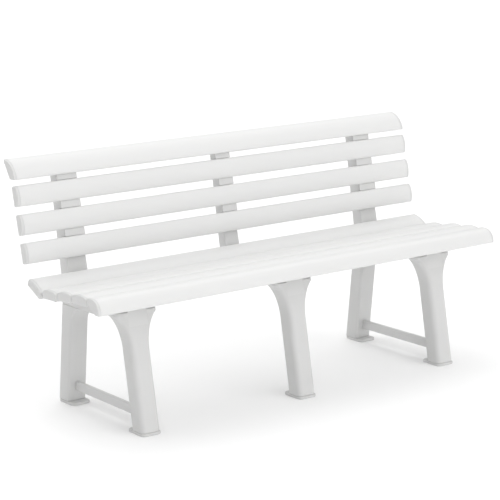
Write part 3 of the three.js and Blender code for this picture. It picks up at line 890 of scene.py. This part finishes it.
def front_leg(side, x):
    half = LEG_WIDTH / 2
    bottom = LEG_BOTTOM_Z
    rim = 1.0
    rings = [front_leg_ring(x, LEG_CEILING_Z, half, LEG_WALL), front_leg_ring(x, bottom, half, LEG_WALL)]
    rings.append(front_leg_ring(x, bottom, half, rim))
    rings.append(front_leg_ring(x, bottom + rim, half))
    steps = 6
    for i in range(1, steps):
        rings.append(front_leg_ring(x, bottom + rim + (FLARE_START_Z - bottom) * i / steps, half))
    for z, half_width in flare_sections(18):
        rings.append(front_leg_ring(x, z, half_width))
    rings.append(front_leg_ring(x, FLARE_TOP_Z - rim, FLARE_TIP_X))
    rings.append(front_leg_ring(x, FLARE_TOP_Z, FLARE_TIP_X, rim))
    bm = bmesh.new()
    add_loft(bm, rings)
    piece = piece_from(bm, "leg_front_" + side)
    slot = half + SEAM
    before_leg = -300
    cutter = bmesh.new()
    sides = ((x - slot, before_leg), (x + slot, before_leg), (x + slot, 0), (x - slot, 0))
    add_loft(cutter, [[(a, b, z) for a, b in sides] for z in (BEARER_BOTTOM_Z - SEAM, HEIGHT)])
    combined(piece, cutter, "DIFFERENCE")
    cut_stretcher_slot(piece, side, x)
    shaded(piece)
    finished(piece, FRAME_RESIN, "frame_plastic", "front_leg_" + side)


def rear_leg_ring(x, z, front, shrink=0.0):
    half = LEG_WIDTH / 2 - shrink
    rear = rear_leg_y(z) + half_depth(REAR_LEG_LEAN) - shrink
    front_radius = max(REAR_LEG_RADIUS - shrink, 1.0)
    rear_radius = max(REAR_LEG_RADIUS / 2 - shrink, 1.0)
    ring = rounded_rectangle(x - half, x + half, front + shrink, rear, front_radius, rear_radius, 7)
    return [(a, b, z) for a, b in ring]


def rear_leg_front_y(z):
    return rear_leg_y(z) - half_depth(REAR_LEG_LEAN)


def rear_leg(side, x):
    bottom = LEG_BOTTOM_Z
    top = BEARER_BOTTOM_Z - GAP
    rim = 1.0
    rings = []
    for z in (LEG_CEILING_Z, bottom):
        rings.append(rear_leg_ring(x, z, rear_leg_front_y(z), LEG_WALL))
    rings.append(rear_leg_ring(x, bottom, rear_leg_front_y(bottom), rim))
    steps = 6
    for i in range(steps + 1):
        z = bottom + rim + (HAUNCH_START_Z - bottom - 2 * rim) * i / steps
        rings.append(rear_leg_ring(x, z, rear_leg_front_y(z)))
    start_y = rear_leg_front_y(HAUNCH_START_Z)
    rise = top - HAUNCH_START_Z - HAUNCH_LIP
    for y, z in arc(start_y - HAUNCH_REACH, HAUNCH_START_Z, HAUNCH_REACH, 0, HAUNCH_TURN, 16, rise):
        rings.append(rear_leg_ring(x, z, y))
    rings.append(rear_leg_ring(x, top - rim, start_y - HAUNCH_REACH))
    rings.append(rear_leg_ring(x, top, start_y - HAUNCH_REACH, rim))
    bm = bmesh.new()
    add_loft(bm, rings)
    piece = piece_from(bm, "leg_rear_" + side)
    cut_stretcher_slot(piece, side, x)
    shaded(piece)
    finished(piece, FRAME_RESIN, "frame_plastic", "rear_leg_" + side)


def stretcher_rings(side, x, grow=0.0):
    low, high = box("stretcher_" + side)
    half_x = (high.x - low.x) / 2 + grow
    half_z = (high.z - low.z) / 2 + grow
    radius = STRETCHER_RADIUS
    section = rounded_rectangle(-half_x, half_x, -half_z, half_z, radius, radius, 5)
    return [[(x + a, y, STRETCHER_Z + b) for a, b in section] for y in (low.y - grow, high.y + grow)]


def cut_stretcher_slot(piece, side, x):
    if side in END_FRAMES:
        cutter = bmesh.new()
        add_loft(cutter, stretcher_rings(side, x, GAP))
        combined(piece, cutter, "DIFFERENCE")


def stretcher(side, x):
    bm = bmesh.new()
    add_loft(bm, stretcher_rings(side, x))
    piece = piece_from(bm, "cross_bar_" + side)
    finished(piece, FRAME_RESIN, "frame_plastic", "stretcher_" + side)


def foot(node, leg_y, lean, x):
    """A plate with a rounded rim, and a plug that fills the leg's lower end."""
    low, high = box(node)
    bm = bmesh.new()
    rings = [foot_ring(low, high, 0, FOOT_CHAMFER), foot_ring(low, high, FOOT_CHAMFER, 0)]
    for angle in (0, 22.5, 45, 67.5, 90):
        drop = FOOT_RIM * (1 - math.sin(math.radians(angle)))
        shrink = FOOT_RIM * (1 - math.cos(math.radians(angle)))
        rings.append(foot_ring(low, high, FOOT_THICKNESS - drop, shrink))
    add_loft(bm, rings)
    plug = []
    wall = LEG_WALL + FOOT_PLUG_CLEARANCE
    for z in (FOOT_THICKNESS - 1, high.z - FOOT_PLUG_TOP):
        y = leg_y - z * math.tan(math.radians(lean))
        deep = half_depth(lean) - wall
        half = LEG_WIDTH / 2 - wall
        sides = (x - half, x + half, y - deep, y + deep)
        corner = LEG_FRONT_RADIUS - wall
        section = rounded_rectangle(*sides, corner, FOOT_PLUG_RADIUS, 4)
        plug.append([(a, b, z) for a, b in section])
    add_loft(bm, plug)
    piece = piece_from(bm, node.replace("foot", "base"))
    finished(piece, FOOT_RESIN, "foot_plastic", node)


def foot_ring(low, high, z, shrink):
    corner = FOOT_CORNER - shrink
    sides = (low.x + shrink, high.x - shrink, low.y + shrink, high.y - shrink)
    return [(a, b, z) for a, b in rounded_rectangle(*sides, corner, corner, 8)]


# ---------------------------------------------------------------- fasteners


def add_turned(bm, profile, sides=24):
    """A round body on the Z axis from its profile as (radius, z), closed on the axis."""
    rings = []
    for radius, z in profile:
        ring = []
        for i in range(sides):
            angle = 2 * math.pi * i / sides
            ring.append((radius * math.cos(angle), radius * math.sin(angle), z))
        rings.append(ring)
    add_loft(bm, rings)


def pan_head(radius, height):
    """Profile of a domed head whose flat underside is at z = 0."""
    straight = 0.35
    fullness = 0.8
    points = [(radius, 0), (radius, straight * height)]
    for angle in (20, 40, 60, 78):
        t = math.radians(angle)
        rise = straight + (1 - straight) * math.sin(t)
        points.append((radius * math.cos(t) ** fullness, height * rise))
    return points


def screw_mesh(name, head_radius, head_height, shank_radius, length):
    """A screw on the Z axis with a cross recess in its head and a threaded shank."""
    tip = 3 * shank_radius
    root_radius = 0.78 * shank_radius
    profile = [(0.3, -length), (shank_radius, tip - length)]
    z = tip - length
    while z + SCREW_PITCH < -2:
        profile += [(shank_radius, z + 0.7 * SCREW_PITCH), (root_radius, z + 0.85 * SCREW_PITCH)]
        z += SCREW_PITCH
    profile += [(shank_radius, -1), (shank_radius, 0)] + pan_head(head_radius, head_height)
    bm = bmesh.new()
    add_turned(bm, profile)
    piece = piece_from(bm, name)
    arm = 0.5 * head_radius
    slim = 0.13 * head_radius
    for a, b in ((arm, slim), (slim, arm)):
        cutter = bmesh.new()
        rings = []
        for share, z in ((0.6, 0.25 * head_height), (1, head_height + 1)):
            p, q = share * a, share * b
            rings.append([(-p, -q, z), (p, -q, z), (p, q, z), (-p, q, z)])
        add_loft(cutter, rings)
        combined(piece, cutter, "DIFFERENCE")
    shaded(piece)
    mesh = piece.data
    bpy.data.objects.remove(piece)
    return mesh


def place_copy(mesh, name, location, outwards):
    """A copy of a mesh made on the Z axis, set so that its +Z points outwards."""
    piece = bpy.data.objects.new(name, mesh.copy())
    bpy.context.scene.collection.objects.link(piece)
    turn = Vector(outwards).to_track_quat("Z", "Y").to_matrix().to_4x4()
    piece.data.transform(Matrix.Translation(Vector(location) * MM) @ turn)
    return piece


def post_normal(side, z):
    slope = post_rear_y(side, z + 1) - post_rear_y(side, z)
    return Vector((0, 1, -slope)).normalized()


def post_screws(side, x, mesh):
    for i in (1, 2):
        node = f"post_screw_{i}_{side}"
        normal = post_normal(side, middle(node, Z))
        z = middle(node, Z) + normal.z * size(node, Y) / 2
        location = (x, post_rear_y(side, z) + GAP, z)
        piece = place_copy(mesh, f"screw_post_{i}_{side}", location, normal)
        finished(piece, ZINC, "fastener_steel", node)


def rear_leg_screw(side, x, mesh):
    node = "rear_leg_screw_" + side
    location = (x, box("seat_bearer_" + side)[1].y + GAP, middle(node, Z))
    piece = place_copy(mesh, "screw_rear_leg_" + side, location, (0, 1, 0))
    finished(piece, ZINC, "fastener_steel", node)


def bolt_and_nut(side, x):
    """A socket-head bolt, and a chamfered hexagon nut on its lower end."""
    low, high = box("leg_bolt_" + side)
    y = (low.y + high.y) / 2
    head_z = high.z - BOLT_HEAD_HEIGHT
    bm = bmesh.new()
    shank = BOLT_RADIUS
    head = BOLT_HEAD_RADIUS
    profile = [(shank - 1, low.z), (shank, low.z + 1)]
    z = low.z + 1
    while z < low.z + BOLT_THREAD_LENGTH:
        profile += [(shank, z + 0.8), (shank - 0.5, z + 1.1)]
        z += BOLT_PITCH
    profile += [(shank, z + 1), (shank, head_z)]
    profile += [(head, head_z), (head, high.z - 1), (head - 1, high.z)]
    add_turned(bm, profile)
    piece = piece_from(bm, "bolt_" + side)
    cutter = bmesh.new()
    add_hexagon(cutter, BOLT_SOCKET_RADIUS, [(1, high.z - 3), (1, high.z + 2)])
    combined(piece, cutter, "DIFFERENCE")
    piece.data.transform(Matrix.Translation(Vector((x, y, 0)) * MM))
    shaded(piece)
    finished(piece, ZINC, "fastener_steel", "leg_bolt_" + side)
    nut_low, nut_high = box("leg_nut_" + side)
    bm = bmesh.new()
    stack = [(0.9, nut_low.z), (1, nut_low.z + 0.8), (1, nut_high.z - 0.8), (0.9, nut_high.z)]
    add_hexagon(bm, NUT_RADIUS, stack)
    nut = piece_from(bm, "nut_" + side)
    hole = bmesh.new()
    add_turned(hole, [(shank + 0.4, nut_low.z - 2), (shank + 0.4, nut_high.z + 2)])
    combined(nut, hole, "DIFFERENCE")
    nut.data.transform(Matrix.Translation(Vector((x, y, 0)) * MM))
    shaded(nut, 25)
    finished(nut, ZINC, "fastener_steel", "leg_nut_" + side)


def add_hexagon(bm, radius, stack):
    """A hexagonal body from (scale, z) pairs."""
    rings = []
    for scale, z in stack:
        corners = [math.radians(60 * i) for i in range(6)]
        rings.append([(radius * scale * math.cos(t), radius * scale * math.sin(t), z) for t in corners])
    add_loft(bm, rings)


def slat_screws(side, x, mesh):
    """Screws up through the bearer into the seat slats, and through the post into the back slats."""
    for node in SEAT_TILTS:
        y = middle(node, Y)
        front, rear, ceiling = min(BEARER_BAYS, key=lambda bay: abs((bay[0] + bay[1]) / 2 - y))
        if not front + SCREW_TO_BAY_END < y < rear - SCREW_TO_BAY_END:
            y = max(front + MOVED_SCREW_TO_BAY_END, min(rear - MOVED_SCREW_TO_BAY_END, y))
        piece = place_copy(mesh, f"screw_{node}_{side}", (x, y, ceiling), (0, 0, -1))
        finished(piece, ZINC, "fastener_steel")
    for node in (*FLAT_BACK_SLATS, "back_slat_4"):
        z = min(middle(node, Z), CREST_SCREW_Z)
        location = (x, post_rear_y(side, z), z)
        piece = place_copy(mesh, f"screw_{node}_{side}", location, post_normal(side, z))
        finished(piece, ZINC, "fastener_steel")


def build_frames():
    frame_screw = screw_mesh("frame_screw", *FRAME_SCREW)
    slat_screw = screw_mesh("slat_screw", *SLAT_SCREW)
    for side, x in FRAMES.items():
        post(side, x)
        bearer(side, x)
        front_leg(side, x)
        foot("front_foot_" + side, FRONT_LEG_Y, FRONT_LEG_LEAN, x)
        bolt_and_nut(side, x)
        post_screws(side, x, frame_screw)
        slat_screws(side, x, slat_screw)
    for side, x in END_FRAMES.items():
        rear_leg(side, x)
        foot("rear_foot_" + side, REAR_LEG_Y, REAR_LEG_LEAN, x)
        stretcher(side, x)
        rear_leg_screw(side, x, frame_screw)


# ---------------------------------------------------------------- stage, light and camera

CAMERA_AZIMUTH = -36.05
CAMERA_ELEVATION = 12.03
CAMERA_ROLL = -1.19
CAMERA_DISTANCE = 5.204
CAMERA_LENS = 124.2
CAMERA_AIM = Vector((-0.0173, 0.038, 0.4092))
SENSOR = 36.0

# The studio's even light, and its lobes as azimuth, elevation, two cosines and strength: one
# overhead, one in front and one high behind.
STUDIO_LEVEL = 0.02
STUDIO_LOBES = (
    (0, 90, 0.4, 1.0, 0.98),
    (3, 8, 0.2, 1.0, 1.31),
    (180, 45, 0.3, 1.0, 1.06),
)


def direction(azimuth, elevation):
    """A unit vector from the bench towards that azimuth and elevation."""
    a = math.radians(azimuth)
    e = math.radians(elevation)
    return Vector((math.sin(a) * math.cos(e), -math.cos(a) * math.cos(e), math.sin(e)))


def build_floor():
    bm = bmesh.new()
    reach = 30000
    square = ((-reach, -reach), (reach, -reach), (reach, reach), (-reach, reach))
    bm.faces.new([bm.verts.new((a, b, 0)) for a, b in square])
    floor = piece_from(bm, "floor")
    n = Nodes("pale_floor")
    colour = n.mix(n.noise(3.0), (0.965, 0.965, 0.965), (0.98, 0.98, 0.98))
    n.link(colour, n.shader.inputs["Base Color"])
    n.shader.inputs["Roughness"].default_value = 0.9
    n.shader.inputs["Specular IOR Level"].default_value = 0.1
    floor.data.materials.append(n.material)


def build_light():
    """A white studio lit by its lobes, which the camera itself sees as plain white."""
    world = bpy.data.worlds.new("studio")
    world.use_nodes = True
    nodes = world.node_tree.nodes
    links = world.node_tree.links
    background = nodes["Background"]
    background.inputs["Color"].default_value = (1, 1, 1, 1)
    direction_in = nodes.new("ShaderNodeTexCoord").outputs["Generated"]

    def lobe(azimuth, elevation, start, end, strength):
        """Light that grows as a direction nears the lobe's own, with cosines for limits."""
        dot = nodes.new("ShaderNodeVectorMath")
        dot.operation = "DOT_PRODUCT"
        dot.inputs[1].default_value = direction(azimuth, elevation)
        links.new(direction_in, dot.inputs[0])
        ramp = nodes.new("ShaderNodeMapRange")
        ramp.interpolation_type = "SMOOTHSTEP"
        ramp.inputs["From Min"].default_value = start
        ramp.inputs["From Max"].default_value = end
        ramp.inputs["To Max"].default_value = strength
        links.new(dot.outputs["Value"], ramp.inputs["Value"])
        return ramp.outputs["Result"]

    total = None
    for values in STUDIO_LOBES:
        part = lobe(*values)
        if total is None:
            total = part
            continue
        add = nodes.new("ShaderNodeMath")
        links.new(total, add.inputs[0])
        links.new(part, add.inputs[1])
        total = add.outputs[0]
    add = nodes.new("ShaderNodeMath")
    add.inputs[1].default_value = STUDIO_LEVEL
    links.new(total, add.inputs[0])
    seen = nodes.new("ShaderNodeLightPath").outputs["Is Camera Ray"]
    choose = nodes.new("ShaderNodeMix")
    links.new(seen, choose.inputs["Factor"])
    links.new(add.outputs[0], choose.inputs["A"])
    choose.inputs["B"].default_value = 1.0
    links.new(choose.outputs["Result"], background.inputs["Strength"])
    bpy.context.scene.world = world


def build_camera():
    camera = bpy.data.cameras.new("camera")
    camera.lens = CAMERA_LENS
    camera.sensor_width = SENSOR
    holder = bpy.data.objects.new("camera", camera)
    bpy.context.scene.collection.objects.link(holder)
    back = direction(CAMERA_AZIMUTH, CAMERA_ELEVATION)
    azimuth = math.radians(CAMERA_AZIMUTH)
    roll = math.radians(CAMERA_ROLL)
    right = Vector((math.cos(azimuth), math.sin(azimuth), 0))
    up = back.cross(right)
    c = math.cos(roll)
    s = math.sin(roll)
    axes = Matrix((c * right + s * up, c * up - s * right, back)).transposed()
    holder.matrix_world = Matrix.Translation(CAMERA_AIM + CAMERA_DISTANCE * back) @ axes.to_4x4()
    bpy.context.scene.camera = holder


build_slats()
build_frames()
build_floor()
build_light()
build_camera()
bpy.context.scene.view_settings.view_transform = "Standard"
